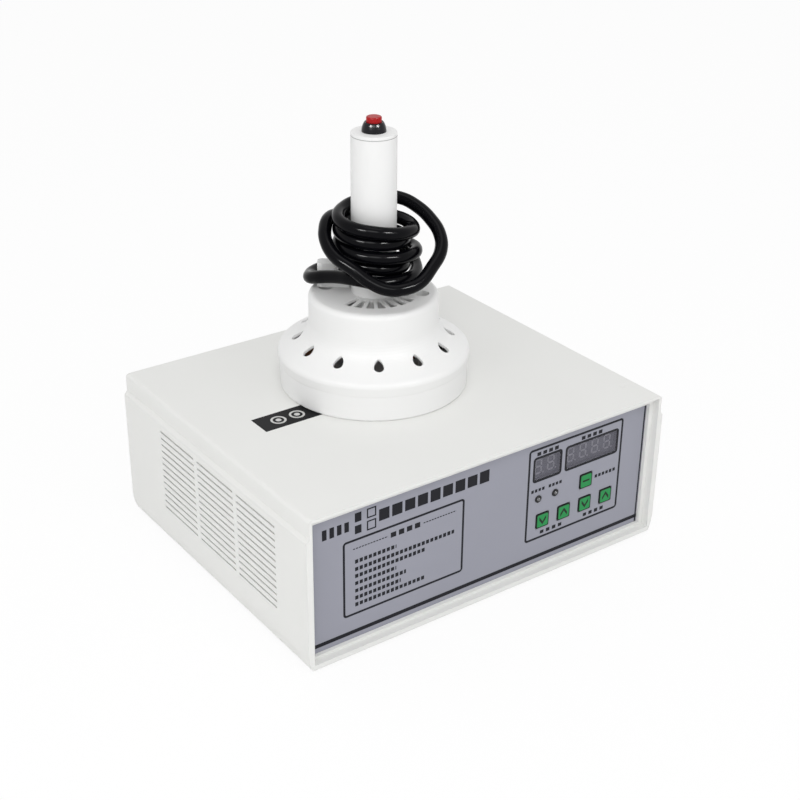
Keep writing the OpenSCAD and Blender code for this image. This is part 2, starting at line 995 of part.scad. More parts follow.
module head_shell() {
  color("white")
    at_head()
      difference() {
        union() {
          rotate_extrude($fn = 128) {
            dome_profile();
            polygon([[handle_r + fit_gap, head_h - 1], [handle_r + fit_gap, head_h - tube_sink],
              [handle_r - 3, head_h - tube_sink], [handle_r - 3, head_h - tube_sink - 3],
              [handle_r + 3, head_h - tube_sink - 3], [handle_r + 3, head_h - 1]]);
          }
          at_wells()
            translate([0, 0, well_z - 3])
              cylinder(r = well_r + 2.2, h = head_h - well_z + 1);
        }
        at_wells() {
          translate([0, 0, well_z])
            cylinder(r = well_r, h = head_h);
          translate([0, 0, well_z - 5])
            cylinder(r = 2.1, h = 10);
        }
        for (k = [0:vent_count - 1])
          rotate(k * 360 / vent_count + vent_phase)
            translate([vent_r, 0, vent_z])
              rotate([0, flare_a, 0])
                rotate(90)
                  translate([0, 0, -8])
                    linear_extrude(height = 16)
                      vent_shape();
        for (k = [0:grille_slots - 1]) {
          a = (k * 360 / grille_slots + grille_phase) % 360;
          near_well = min(gap_a(a, well_a[0]), gap_a(a, well_a[1])) < 14;
          if (a < block_from || a > block_to)
            rotate(a)
              translate([0, 0, head_h - head_wall - 1])
                linear_extrude(height = head_wall + 2)
                  grille_slot(near_well ? 28 : grille_out);
        }
      }
}

module sealing_coil() {
  color("peru")
    at_head()
      rotate_extrude($fn = 96) {
        translate([head_r - 30.5, 3])
          square([20, 2.2]);
        for (i = [0:5])
          translate([head_r - 28 + i * 3, 6.5])
            circle(r = 1.7, $fn = 24);
      }
}

module ferrite_bars() {
  color("dimgray")
    at_head()
      for (k = [0:7])
        rotate(k * 45)
          translate([head_r - 30.5, -4, 8.2])
            cube([20, 8, 5]);
}

module head_screws() {
  color("silver")
    at_head()
      at_wells()
        difference() {
          union() {
            translate([0, 0, well_z])
              cylinder(r = 3.8, h = 2.8);
            translate([0, 0, well_z - 20])
              cylinder(r = 1.7, h = 20 + eps);
          }
          translate([0, 0, well_z + 1.2])
            cylinder(r = 1.6, h = 3, $fn = 4);
        }
}

module handle_tube() {
  color("white")
    at_head()
      difference() {
        translate([0, 0, head_h - tube_sink])
          cylinder(r = handle_r, h = handle_len + tube_sink);
        translate([0, 0, head_h - tube_sink - 1])
          cylinder(r = handle_r - tube_t, h = handle_len + tube_sink + 2);
      }
}

module handle_cap() {
  plug_r = handle_r - tube_t - fit_gap;
  color("white")
    at_head()
      rotate_extrude()
        polygon([[sleeve_r + fit_gap, cap_z], [plug_r - 2, cap_z], [plug_r - 2, cap_z - 8],
          [plug_r, cap_z - 8], [plug_r, cap_z], [handle_r, cap_z], [handle_r, cap_top - 0.8],
          [handle_r - 0.25, cap_top - 0.25], [handle_r - 0.8, cap_top], [sleeve_r + fit_gap, cap_top]]);
}

module button_bezel() {
  color("black")
    at_head()
      rotate_extrude()
        polygon([[stem_r + run_gap, cap_z - sleeve_l], [sleeve_r, cap_z - sleeve_l], [sleeve_r, cap_top],
          [bezel_bore + 2.9, cap_top], [bezel_bore + 2.9, cap_top + 1.4], [bezel_bore + 2.6, cap_top + 3.2],
          [bezel_bore + 2, cap_top + 5], [bezel_bore + 1.3, cap_top + 6.4],
          [bezel_bore + 0.8, cap_top + bezel_h], [bezel_bore, cap_top + bezel_h],
          [bezel_bore, cap_top + 1.5], [stem_r + run_gap, cap_top + 1.5]]);
}

module button_nut() {
  color("silver")
    at_head()
      difference() {
        translate([0, 0, cap_z - 3])
          cylinder(r = 8.6, h = 3, $fn = 6);
        translate([0, 0, cap_z - 4])
          cylinder(r = sleeve_r + fit_gap, h = 5);
      }
}

module trigger_button() {
  color("red")
    at_head()
      rotate_extrude()
        polygon([[0, cap_z - 16], [stem_r, cap_z - 16], [stem_r, button_z0], [button_r, button_z0],
          [button_r, button_z1 - 0.8], [button_r - 0.25, button_z1 - 0.25], [button_r - 0.8, button_z1],
          [0, button_z1]]);
}

module trigger_switch() {
  color("black")
    at_head() {
      translate([-6, -6, cap_z - sleeve_l - 16])
        cube([12, 12, 16]);
      for (s = [-1, 1])
        translate([s * 3 - 0.4, -1.5, cap_z - sleeve_l - 23])
          cube([0.8, 3, 7 + eps]);
    }
}

// cable clamp on the head, tall at its outer end, with a low tongue towards the handle
module cable_block() {
  color("white")
    at_head()
      rotate(block_turn)
        difference() {
          union() {
            translate([-35, 10.2, head_h])
              linear_extrude(height = 19)
                round_rect(16, 11.5, 4);
            translate([-30, 4.5, head_h])
              cube([30 - handle_r - 1.6, 9, 9]);
          }
          for (u = [-24.6, -21.4])
            translate([u, 5.5, head_h + 3])
              cylinder(r = 1.25, h = 10, $fn = 24);
        }
}

module block_screws() {
  color("dimgray")
    at_head()
      rotate(block_turn)
        for (u = [-24.6, -21.4])
          translate([u, 5.5, head_h + 3])
            cylinder(r = 1.2, h = 5, $fn = 24);
}

/* [Hidden] */
// cord: turns round the handle as one ring, a loose loop, the tail into the clamp and the lead to the case
cord_r = cord_d / 2;
coil_out = 32;
coil_low_out = 27.5;
coil_z0 = 84;
coil_step = 94;
coil_z1 = 141;
cord_sides = 10;
head_k = head_r / 74;
lay_z = z_top + cord_r + 0.2;
over_z = z_top + cord_r + 4;
bow_r = (over_z - gland_at[1]) / 2;
y_gland = y_out + gland_l;

// head points: right and away as seen from the front left corner, then height over the lid
loop_route = [[25, 15, 92], [25, 29, 96], [12, 39, 104], [-4, 41, 114], [-19.5, 33.5, 122],
  [-29.5, 21, 126.5], [-34.5, 8, 127.5], [-36, -3.5, 124.5], [-35, -14, 119.5], [-28, -26, 112],
  [-14, -35, 105], [-2, -39, 97], [12, -41, 92], [23, -39, 92], [34, -32, 94], [43, -20, 101],
  [50, -6, 110], [49, 6, 118], [43, 16, 125], [32, 27, 132], [19, 34, 136.2], [5, 33, 137.3],
  [-8, 27, 137]];
tail_route = [[6, 25.5, 92], [-5, 27.5, 90.5], [-16, 27, 88.5], [-26.5, 23.5, 86.5], [-34, 16, 86]];
lead_route = [[-7, -26, 92.5], [-16, -21.5, 92.3], [-25, -14, 90.5], [-34, -7.2, 88], [-42, -1.8, 85.4],
  [-47.8, 5.2, 82.3], [-49.2, 13.8, 80.4], [-47, 22.4, 79.9], [-41.7, 29.6, 79.8], [-34, 34, 79.8],
  [-23, 37.3, 79.8], [-11, 41.5, 79.9], [0, 47.6, 79.6], [7, 55.3, 74.6], [12.5, 62.2, 64.9],
  [16.5, 68.5, 53.2], [19.2, 74.8, 40.6], [20.5, 80.7, 28], [20.5, 84.7, 19.5], [20.2, 90.6, 12],
  [19.3, 98.5, 7.2], [17.5, 108, 5.4]];

function lift(dz) = dz > 74.5 ? dz + head_h - 74.5 : dz * head_h / 74.5;
function from_head(p, k) = [
  head_x + k * (p[0] * cos(block_turn) - p[1] * sin(block_turn)),
  head_y + k * (p[0] * sin(block_turn) + p[1] * cos(block_turn)),
  z_top + lift(p[2])];
function along(a, b, c, d, t) = 0.5 * (2 * b + (c - a) * t + (2 * a - 5 * b + 4 * c - d) * t * t
  + (3 * b - a - 3 * c + d) * t * t * t);
function smooth(p, n) = let (e = len(p) - 1) concat(
  [for (i = [0:e - 1], s = [0:n - 1])
    along(p[max(i - 1, 0)], p[i], p[i + 1], p[min(i + 2, e)], s / n)], [p[e]]);
function unit(v) = v / norm(v);
function headings(p) = [for (i = [0:len(p) - 1]) unit(p[min(i + 1, len(p) - 1)] - p[max(i - 1, 0)])];
function carried(t, i, n) = i == len(t) ? [] :
  let (m = unit(n - (n * t[i]) * t[i])) concat([m], carried(t, i + 1, m));

// round tube swept along a route
module cord_tube(route) {
  m = cord_sides;
  t = headings(route);
  n = carried(t, 0, [0.13, 0.21, 1]);
  last = len(route) - 1;
  pts = [for (i = [0:last], j = [0:m - 1])
    route[i] + cord_r * (cos(360 * j / m) * n[i] + sin(360 * j / m) * cross(t[i], n[i]))];
  sides = [for (i = [0:last - 1], j = [0:m - 1], h = [0, 1])
    h == 0 ? [i * m + j, (i + 1) * m + j, (i + 1) * m + (j + 1) % m]
      : [i * m + j, (i + 1) * m + (j + 1) % m, i * m + (j + 1) % m]];
  ends = [[for (j = [0:m - 1]) j], [for (j = [m - 1:-1:0]) last * m + j]];
  color("black")
    polyhedron(points = pts, faces = concat(sides, ends), convexity = 6);
}

module cord_coil() {
  color("black")
    at_head()
      translate([0, 0, head_h - 74.5])
        rotate_extrude()
          polygon([[handle_r, coil_z0], [coil_low_out, coil_z0], [coil_low_out, coil_step],
            [coil_out, coil_step], [coil_out, coil_z1], [handle_r, coil_z1]]);
}

module cord_loop() {
  cord_tube(smooth([for (p = loop_route) from_head(p, 1)], 2));
}

module cord_tail() {
  cord_tube(smooth([for (p = tail_route) from_head(p, 1)], 2));
}

module cord_lead() {
  bow = [for (a = [180:-30:0])
    [gland_at[0], y_gland + 6 + bow_r * sin(a), gland_at[1] + bow_r - bow_r * cos(a)]];
  cord_tube(smooth(concat([for (p = lead_route) from_head(p, head_k)],
    [[gland_at[0], y_rear - 22, lay_z], [gland_at[0], y_rear - 6, lay_z + 2]],
    bow, [[gland_at[0], y_gland, gland_at[1]]]), 2));
}

base_shell();
top_cover();
cover_label();
rubber_feet();
case_screws();
front_panel();
panel_overlay();
time_window();
count_window();
time_display();
count_display();
led_rings();
power_led();
work_led();
key_minus();
key_time_down();
key_time_up();
key_count_down();
key_count_up();
key_switches();
control_board();
board_screws();
power_board();
power_screws();
heat_sink();
transistors();
bus_capacitors();
resonant_capacitors();
choke();
drive_transformer();
rear_panel();
fan_frame();
fan_rotor();
fan_guard();
fan_screws();
mains_inlet();
inlet_pins();
fuse_holder();
rocker_frame();
rocker();
cord_gland();
head_base();
head_shell();
sealing_coil();
ferrite_bars();
head_screws();
handle_tube();
handle_cap();
button_bezel();
button_nut();
trigger_button();
trigger_switch();
cable_block();
block_screws();
cord_coil();
cord_lead();
cord_loop();
cord_tail();
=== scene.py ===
import math

import bpy
from mathutils import Euler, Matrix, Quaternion, Vector


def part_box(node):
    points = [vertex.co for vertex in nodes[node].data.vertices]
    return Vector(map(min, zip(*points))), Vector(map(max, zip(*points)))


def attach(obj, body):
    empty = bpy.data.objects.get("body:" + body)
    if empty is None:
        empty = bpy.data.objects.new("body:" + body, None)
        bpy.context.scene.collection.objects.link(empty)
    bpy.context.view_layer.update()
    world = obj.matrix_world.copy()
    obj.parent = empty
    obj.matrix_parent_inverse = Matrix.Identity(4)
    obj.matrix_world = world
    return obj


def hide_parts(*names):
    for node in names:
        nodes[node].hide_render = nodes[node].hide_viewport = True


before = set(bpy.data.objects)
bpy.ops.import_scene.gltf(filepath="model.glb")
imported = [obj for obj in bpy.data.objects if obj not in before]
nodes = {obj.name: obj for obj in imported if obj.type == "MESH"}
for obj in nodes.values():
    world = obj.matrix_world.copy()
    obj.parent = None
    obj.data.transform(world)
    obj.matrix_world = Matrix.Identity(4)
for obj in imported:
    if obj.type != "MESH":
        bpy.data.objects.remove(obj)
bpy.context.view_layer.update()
scene = bpy.context.scene

# Camera. A normal lens about 1.2 m away from the left front corner, solved from the case edges in the photo.
# It is rolled by about half a degree, as the picture is.
camera_dip = math.radians(27.131)
camera_turn = math.radians(35.978)
camera_roll = math.radians(0.606)
cam_data = bpy.data.cameras.new("camera")
cam_data.lens = 65.5
cam_data.sensor_width = 36.0
camera = bpy.data.objects.new("camera", cam_data)
scene.collection.objects.link(camera)
camera.location = (-0.58615, -0.81940, 0.62689)
camera.rotation_mode = "QUATERNION"
camera.rotation_quaternion = (
    Euler((math.radians(90) - camera_dip, 0, -camera_turn)).to_quaternion()
    @ Quaternion((0, 0, 1), camera_roll)
)
scene.camera = camera
scene.view_settings.view_transform = "Standard"


# Studio. A white floor and a white surround that lights everything evenly, with a round soft box over the
# camera and weak ones above and on each side. The camera, gloss and glass see the surround pure white. Two
# bright strips that only gloss sees draw the streaks on the cord.
def worked_out(tree, operation, *feeds):
    """Adds a math step fed by sockets or plain numbers and returns its result."""
    step = tree.nodes.new("ShaderNodeMath")
    step.operation = operation
    for slot, feed in zip(step.inputs, feeds):
        if isinstance(feed, (int, float)):
            slot.default_value = feed
        else:
            tree.links.new(feed, slot)
    return step.outputs[0]


def sees_white(tree):
    """One for the rays of the camera, of gloss and of glass, and zero for the others."""
    rays = tree.nodes.new("ShaderNodeLightPath")
    gloss_too = worked_out(tree, "MAXIMUM", rays.outputs["Is Camera Ray"], rays.outputs["Is Glossy Ray"])
    return worked_out(tree, "MAXIMUM", gloss_too, rays.outputs["Is Transmission Ray"])


def new_finish(name):
    """A new material, its node tree and its surface."""
    material = bpy.data.materials.new(name)
    material.use_nodes = True
    return material, material.node_tree, material.node_tree.nodes["Principled BSDF"]


white = (1.0, 1.0, 1.0, 1)
world = bpy.data.worlds.new("studio")
scene.world = world
world.use_nodes = True
tree = world.node_tree
sky = tree.nodes["Background"]
sky.inputs["Color"].default_value = white
sky.inputs["Strength"].default_value = 0.71
backdrop = tree.nodes.new("ShaderNodeBackground")
backdrop.inputs["Color"].default_value = white
backdrop.inputs["Strength"].default_value = 1.0
pick = tree.nodes.new("ShaderNodeMixShader")
tree.links.new(sees_white(tree), pick.inputs["Fac"])
tree.links.new(sky.outputs["Background"], pick.inputs[1])
tree.links.new(backdrop.outputs["Background"], pick.inputs[2])
tree.links.new(pick.outputs["Shader"], tree.nodes["World Output"].inputs["Surface"])

aim = Vector((0, 0, 0.1))
# name, place, width, height, power, seen by gloss only
for name, place, width, height, power, gloss_only in (
    ("front_light", (-0.90, -1.25, 1.45), 0.8, 0.8, 10.0, False),
    ("left_light", (-1.75, -0.80, 0.85), 0.8, 0.8, 3.0, False),
    ("top_light", (0.10, -0.10, 2.00), 0.9, 0.9, 3.0, False),
    ("right_light", (0.55, -1.80, 1.20), 0.8, 0.8, 2.5, False),
    ("left_streak", (-1.50, -0.60, 1.35), 0.9, 0.22, 42.0, True),
    ("right_streak", (0.30, -1.55, 1.40), 0.9, 0.22, 42.0, True),
):
    lamp = bpy.data.lights.new(name, "AREA")
    lamp.shape = "ELLIPSE"
    lamp.size = width
    lamp.size_y = height
    lamp.energy = power
    lamp_obj = bpy.data.objects.new(name, lamp)
    scene.collection.objects.link(lamp_obj)
    lamp_obj.location = place
    lamp_obj.rotation_euler = (aim - Vector(place)).to_track_quat("-Z", "Y").to_euler()
    lamp_obj.visible_diffuse = not gloss_only

# the floor glows for the most part, and the rest keeps the shadow
floor_glow = 0.90
bpy.ops.object.select_all(action="DESELECT")
bpy.ops.mesh.primitive_plane_add(size=8, location=(0, 0, 0))
floor = bpy.context.object
floor.name = "floor"
floor_mat, tree, skin = new_finish("floor_white")
skin.inputs["Base Color"].default_value = (0.95, 0.95, 0.95, 1)
skin.inputs["Roughness"].default_value = 0.9
skin.inputs["Specular IOR Level"].default_value = 0.1
glow = tree.nodes.new("ShaderNodeEmission")
glow.inputs["Strength"].default_value = 1.0
fade = tree.nodes.new("ShaderNodeMixShader")
tree.links.new(worked_out(tree, "MULTIPLY", sees_white(tree), floor_glow), fade.inputs["Fac"])
tree.links.new(skin.outputs["BSDF"], fade.inputs[1])
tree.links.new(glow.outputs["Emission"], fade.inputs[2])
tree.links.new(fade.outputs["Shader"], tree.nodes["Material Output"].inputs["Surface"])
floor.data.materials.append(floor_mat)


# Head cord. Soft glossy black cable, 10 mm thick and about 1.5 m long. It leaves the clamp on the head,
# climbs the handle in four turns, hangs in a loose loop, takes a last low turn and runs down behind the head
# over the rear edge of the lid into the gland on the rear panel.
def place_of(name):
    """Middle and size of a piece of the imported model, in millimetres to the nearest hundredth."""
    low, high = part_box(name)
    middle = [round(float(a + b) * 500, 2) for a, b in zip(low, high)]
    size = [round(float(b - a) * 1000, 2) for a, b in zip(low, high)]
    return middle, size


def spread(tree, share, low, high):
    """A value that runs from low to high as a tone or a mask runs from zero to one."""
    run = tree.nodes.new("ShaderNodeMapRange")
    run.inputs["To Min"].default_value = low
    run.inputs["To Max"].default_value = high
    tree.links.new(share, run.inputs["Value"])
    return run.outputs["Result"]


cord_diameter = 0.010
head_turn = math.radians(-36)
# points are (right, away, up) from the foot of the head, as the camera sees it, in millimetres
tail = [(-34, 16, 86), (-26.5, 23.5, 86.5), (-16, 27, 88.5), (-5, 27.5, 90.5), (6.8, 25.4, 92),
        (16.1, 19.2, 93.2), (21.3, 9.9, 94.8)]
# the four turns, clockwise from above: reach and height at the right, front, left and back of each
quarters = [
    (22.5, 96.0), (22.3, 100.6), (22.3, 103.3), (26.5, 105.3),
    (31.5, 107.5), (27.0, 111.0), (26.0, 113.7), (23.5, 115.8),
    (22.5, 116.2), (24.0, 120.8), (26.0, 123.8), (27.3, 125.7),
    (29.5, 124.2), (27.0, 130.7), (26.3, 134.0),
]
steps = 3
turns = []
for step in range(steps * (len(quarters) - 1) + 1):
    first = min(step // steps, len(quarters) - 2)
    share = step / steps - first
    reach = quarters[first][0] * (1 - share) + quarters[first + 1][0] * share
    height = quarters[first][1] * (1 - share) + quarters[first + 1][1] * share
    a = math.radians(-90 / steps * step)
    turns.append((reach * math.cos(a), reach * math.sin(a), height))
loop = [(-23.2, 13.4, 134.8), (-14.2, 24.7, 136.2), (5, 33, 137.3), (19, 34, 136.2), (32, 27, 132),
        (43, 16, 125), (49, 6, 118), (50, -6, 110), (43, -20, 101), (34, -32, 94), (23, -39, 92),
        (12, -41, 92), (-2, -39, 97), (-14, -35, 105), (-28, -26, 112), (-35, -14, 119.5),
        (-36, -3.5, 124.5), (-34.5, 8, 127.5), (-29.5, 21, 126.5), (-19.5, 33.5, 122), (-4, 41, 114),
        (12, 39, 104), (25, 29, 96)]
low_turn = [(31, 15, 91), (31, -1, 89.6), (25, -15.5, 90.4), (14, -25, 91.4), (2, -28, 91.6)]
lead = [(-7, -26, 92.5), (-16, -21.5, 92.3), (-25, -14, 90.5), (-34, -7.2, 88), (-42, -1.8, 85.4),
        (-47.8, 5.2, 82.3), (-49.2, 13.8, 80.4), (-47, 22.4, 79.9), (-41.7, 29.6, 79.8), (-34, 34, 79.8),
        (-23, 37.3, 79.8), (-11, 41.5, 79.9), (0, 47.6, 79.6), (7, 55.3, 74.6), (12.5, 62.2, 64.9),
        (16.5, 68.5, 53.2), (19.2, 74.8, 40.6), (20.5, 80.7, 28), (20.5, 84.7, 19.5), (20.2, 90.6, 12),
        (19.3, 98.5, 7.2), (17.5, 108, 5.4)]
head_middle, head_size = place_of("head_base")
head_foot = (head_middle[0], head_middle[1], head_middle[2] - head_size[2] / 2)
head_at = Vector([value / 1000 for value in head_foot])
route = []
for right, away, up in tail + turns + loop + low_turn + lead:
    route.append(head_at + Vector((
        right * math.cos(head_turn) - away * math.sin(head_turn),
        right * math.sin(head_turn) + away * math.cos(head_turn),
        up)) / 1000)
# over the rear edge of the lid, then a half circle out and down into the gland
gland_middle, gland_size = place_of("cord_gland")
gland_x = gland_middle[0] / 1000
gland_y = (gland_middle[1] + gland_size[1] / 2) / 1000
gland_z = gland_middle[2] / 1000
gland_run = 0.006
bow = 0.024
for away, up in ((0.111, 0.1292), (0.127, 0.1312)):
    route.append(Vector((gland_x, away, up)))
for angle in range(180, -1, -30):
    a = math.radians(angle)
    route.append(Vector((
        gland_x, gland_y + gland_run + bow * math.sin(a), gland_z + bow - bow * math.cos(a))))
route.append(Vector((gland_x, gland_y, gland_z)))

bpy.ops.object.select_all(action="DESELECT")
bpy.ops.curve.primitive_bezier_curve_add(location=(0, 0, 0))
cord = bpy.context.object
cord.name = "head_cord"
cord.data.dimensions = "3D"
spline = cord.data.splines[0]
spline.bezier_points.add(len(route) - len(spline.bezier_points))
for point, place in zip(spline.bezier_points, route):
    point.co = place
    point.handle_left_type = "AUTO"
    point.handle_right_type = "AUTO"
cord.data.resolution_u = 6
cord.data.bevel_depth = cord_diameter / 2
cord.data.bevel_resolution = 5
cord.data.use_fill_caps = True

cord_mat, tree, sheath = new_finish("cord_sheath")
sheath.inputs["Base Color"].default_value = (0.002, 0.002, 0.003, 1)
sheath.inputs["Specular IOR Level"].default_value = 0.08
where = tree.nodes.new("ShaderNodeTexCoord")
wave = tree.nodes.new("ShaderNodeTexNoise")
wave.inputs["Scale"].default_value = 90.0
wave.inputs["Detail"].default_value = 3.0
tree.links.new(where.outputs["Object"], wave.inputs["Vector"])
tree.links.new(spread(tree, wave.outputs["Fac"], 0.11, 0.20), sheath.inputs["Roughness"])
ripple = tree.nodes.new("ShaderNodeBump")
ripple.inputs["Strength"].default_value = 0.05
ripple.inputs["Distance"].default_value = 0.0006
tree.links.new(wave.outputs["Fac"], ripple.inputs["Height"])
tree.links.new(ripple.outputs["Normal"], sheath.inputs["Normal"])
cord.data.materials.append(cord_mat)
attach(cord, "machine")
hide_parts("cord_coil", "cord_lead", "cord_loop", "cord_tail")


# Case shell and lid. Two off-white ABS mouldings, fine satin texture, the lid screwed to the shell from
# below. A shared node group gives the moulding grain; the lid shows one faint sink mark over a screw post.
grain = bpy.data.node_groups.new("moulding_grain", "ShaderNodeTree")
for name, value in (("Scale", 900.0), ("Depth", 0.00004), ("Edge", 0.0005)):
    socket = grain.interface.new_socket(name, in_out="INPUT", socket_type="NodeSocketFloat")
    socket.default_value = value
grain.interface.new_socket("Normal", in_out="OUTPUT", socket_type="NodeSocketVector")
grain.interface.new_socket("Tone", in_out="OUTPUT", socket_type="NodeSocketFloat")
given = grain.nodes.new("NodeGroupInput")
result = grain.nodes.new("NodeGroupOutput")
where = grain.nodes.new("ShaderNodeTexCoord")
pits = grain.nodes.new("ShaderNodeTexNoise")
pits.inputs["Detail"].default_value = 2.0
cloud = grain.nodes.new("ShaderNodeTexNoise")
cloud.inputs["Scale"].default_value = 14.0
cloud.inputs["Detail"].default_value = 4.0
soft_edge = grain.nodes.new("ShaderNodeBevel")
soft_edge.samples = 4
press = grain.nodes.new("ShaderNodeBump")
press.inputs["Strength"].default_value = 0.35
grain.links.new(where.outputs["Object"], pits.inputs["Vector"])
grain.links.new(where.outputs["Object"], cloud.inputs["Vector"])
grain.links.new(given.outputs["Scale"], pits.inputs["Scale"])
grain.links.new(given.outputs["Depth"], press.inputs["Distance"])
grain.links.new(given.outputs["Edge"], soft_edge.inputs["Radius"])
grain.links.new(pits.outputs["Fac"], press.inputs["Height"])
grain.links.new(soft_edge.outputs["Normal"], press.inputs["Normal"])
grain.links.new(press.outputs["Normal"], result.inputs["Normal"])
grain.links.new(cloud.outputs["Fac"], result.inputs["Tone"])


def grained(tree, scale=900.0, depth=0.00004, edge=0.0005):
    """Puts the moulding grain in a material and returns its tone and its normal."""
    texture = tree.nodes.new("ShaderNodeGroup")
    texture.node_tree = grain
    texture.inputs["Scale"].default_value = scale
    texture.inputs["Depth"].default_value = depth
    texture.inputs["Edge"].default_value = edge
    return texture.outputs["Tone"], texture.outputs["Normal"]


def between(tree, share, low, high):
    """A colour between two others, which are plain colours or sockets."""
    mix = tree.nodes.new("ShaderNodeMix")
    mix.data_type = "RGBA"
    tree.links.new(share, mix.inputs[0])
    for slot, colour in ((mix.inputs[6], low), (mix.inputs[7], high)):
        if isinstance(colour, tuple):
            slot.default_value = colour
        else:
            tree.links.new(colour, slot)
    return mix.outputs[2]


def dress(material, *names):
    """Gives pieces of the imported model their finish."""
    for name in names:
        nodes[name].data.materials.clear()
        nodes[name].data.materials.append(material)


sink_mark = (0.146, -0.104, 0.124)
case_mat, tree, skin = new_finish("case_abs")
skin.inputs["Roughness"].default_value = 0.46
skin.inputs["Specular IOR Level"].default_value = 0.15
tone, normal = grained(tree)
case_white = between(tree, tone, (0.765, 0.767, 0.748, 1), (0.790, 0.792, 0.775, 1))
tree.links.new(case_white, skin.inputs["Base Color"])
spot = tree.nodes.new("ShaderNodeTexCoord")
reach = tree.nodes.new("ShaderNodeVectorMath")
reach.operation = "DISTANCE"
reach.inputs[1].default_value = sink_mark
sink = tree.nodes.new("ShaderNodeMapRange")
sink.interpolation_type = "SMOOTHSTEP"
sink.inputs["From Min"].default_value = 0.0012
sink.inputs["From Max"].default_value = 0.0034
sink_bump = tree.nodes.new("ShaderNodeBump")
sink_bump.inputs["Strength"].default_value = 0.5
sink_bump.inputs["Distance"].default_value = 0.0006
tree.links.new(spot.outputs["Object"], reach.inputs[0])
tree.links.new(reach.outputs["Value"], sink.inputs["Value"])
tree.links.new(sink.outputs["Result"], sink_bump.inputs["Height"])
tree.links.new(normal, sink_bump.inputs["Normal"])
tree.links.new(sink_bump.outputs["Normal"], skin.inputs["Normal"])
dress(case_mat, "base_shell", "top_cover")

# Head mouldings, handle tube, its cap and the cable clamp. Smooth white ABS, semi-gloss; the dome is screwed
# to the tray and the tube is glued into its collar. A fine grey line shows where the cap meets the tube.
head_mat, tree, skin = new_finish("head_abs")
skin.inputs["Roughness"].default_value = 0.46
skin.inputs["Specular IOR Level"].default_value = 0.15
tone, normal = grained(tree, scale=420.0, depth=0.00002, edge=0.0006)
head_white = between(tree, tone, (0.812, 0.813, 0.808, 1), (0.836, 0.837, 0.832, 1))
where = tree.nodes.new("ShaderNodeTexCoord")
axes = tree.nodes.new("ShaderNodeSeparateXYZ")
tree.links.new(where.outputs["Object"], axes.inputs[0])
tube_top = float(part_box("handle_tube")[1][2])
seam = worked_out(tree, "COMPARE", axes.outputs["Z"], tube_top, 0.0003)
seamed = between(tree, seam, head_white, (0.42, 0.42, 0.42, 1))
tree.links.new(seamed, skin.inputs["Base Color"])
tree.links.new(normal, skin.inputs["Normal"])
dress(head_mat, "head_base", "head_shell", "handle_tube", "handle_cap", "cable_block")


# Label on the lid. A black self-adhesive strip in a shallow pocket, half under the head, printed with two
# light rings and a dot in each. A node group for rounded rectangles draws them and most other printed shapes
# of the machine, in millimetres, and also the painted shadow strip on the film.
def in_millimetres(tree):
    """Where a point of the piece is, in millimetres: sockets for X, Y and Z."""
    where = tree.nodes.new("ShaderNodeTexCoord")
    scale = tree.nodes.new("ShaderNodeVectorMath")
    scale.operation = "SCALE"
    scale.inputs["Scale"].default_value = 1000.0
    axes = tree.nodes.new("ShaderNodeSeparateXYZ")
    tree.links.new(where.outputs["Object"], scale.inputs[0])
    tree.links.new(scale.outputs["Vector"], axes.inputs[0])
    return axes.outputs


def drawn(tree, group, across, up, sizes):
    """Draws a shape in a material from a node group and its sizes, and returns its mask: mostly print, and on
    the film also one painted shadow.
    """
    shape = tree.nodes.new("ShaderNodeGroup")
    shape.node_tree = group
    for socket, value in sizes.items():
        shape.inputs[socket].default_value = value
    tree.links.new(across, shape.inputs["X"])
    tree.links.new(up, shape.inputs["Z"])
    return shape.outputs["Mask"]


def drawn_together(tree, masks):
    """One mask for several drawn shapes, print and painted shadow alike."""
    joined = masks[0]
    for mask in masks[1:]:
        joined = worked_out(tree, "MAXIMUM", joined, mask)
    return joined


rectangle = bpy.data.node_groups.new("drawn_rectangle", "ShaderNodeTree")
for name, value in (("X", 0.0), ("Z", 0.0), ("Middle X", 0.0), ("Middle Z", 0.0), ("Width", 10.0),
                    ("Height", 10.0), ("Corner", 0.5), ("Line", 0.0)):
    socket = rectangle.interface.new_socket(name, in_out="INPUT", socket_type="NodeSocketFloat")
    socket.default_value = value
rectangle.interface.new_socket("Mask", in_out="OUTPUT", socket_type="NodeSocketFloat")
given = rectangle.nodes.new("NodeGroupInput").outputs
result = rectangle.nodes.new("NodeGroupOutput").inputs
past = []
corner = rectangle.nodes.new("ShaderNodeCombineXYZ")
for slot, axis, middle, size in ((0, "X", "Middle X", "Width"), (1, "Z", "Middle Z", "Height")):
    away = worked_out(rectangle, "ABSOLUTE", worked_out(rectangle, "SUBTRACT", given[axis], given[middle]))
    straight = worked_out(rectangle, "MULTIPLY_ADD", given[size], -0.5, given["Corner"])
    past.append(worked_out(rectangle, "ADD", away, straight))
    rectangle.links.new(worked_out(rectangle, "MAXIMUM", past[slot], 0.0), corner.inputs[slot])
round_off = rectangle.nodes.new("ShaderNodeVectorMath")
round_off.operation = "LENGTH"
rectangle.links.new(corner.outputs[0], round_off.inputs[0])
deep = worked_out(rectangle, "MINIMUM", worked_out(rectangle, "MAXIMUM", past[0], past[1]), 0.0)
far = worked_out(rectangle, "ADD", round_off.outputs["Value"], deep)
edge = worked_out(rectangle, "SUBTRACT", far, given["Corner"])
inside = worked_out(rectangle, "LESS_THAN", edge, 0.0)
hole = worked_out(rectangle, "LESS_THAN", worked_out(rectangle, "ADD", edge, given["Line"]), 0.0)
outlined = worked_out(rectangle, "GREATER_THAN", given["Line"], 0.0)
cut = worked_out(rectangle, "MULTIPLY", hole, outlined)
rectangle.links.new(worked_out(rectangle, "SUBTRACT", inside, cut), result["Mask"])

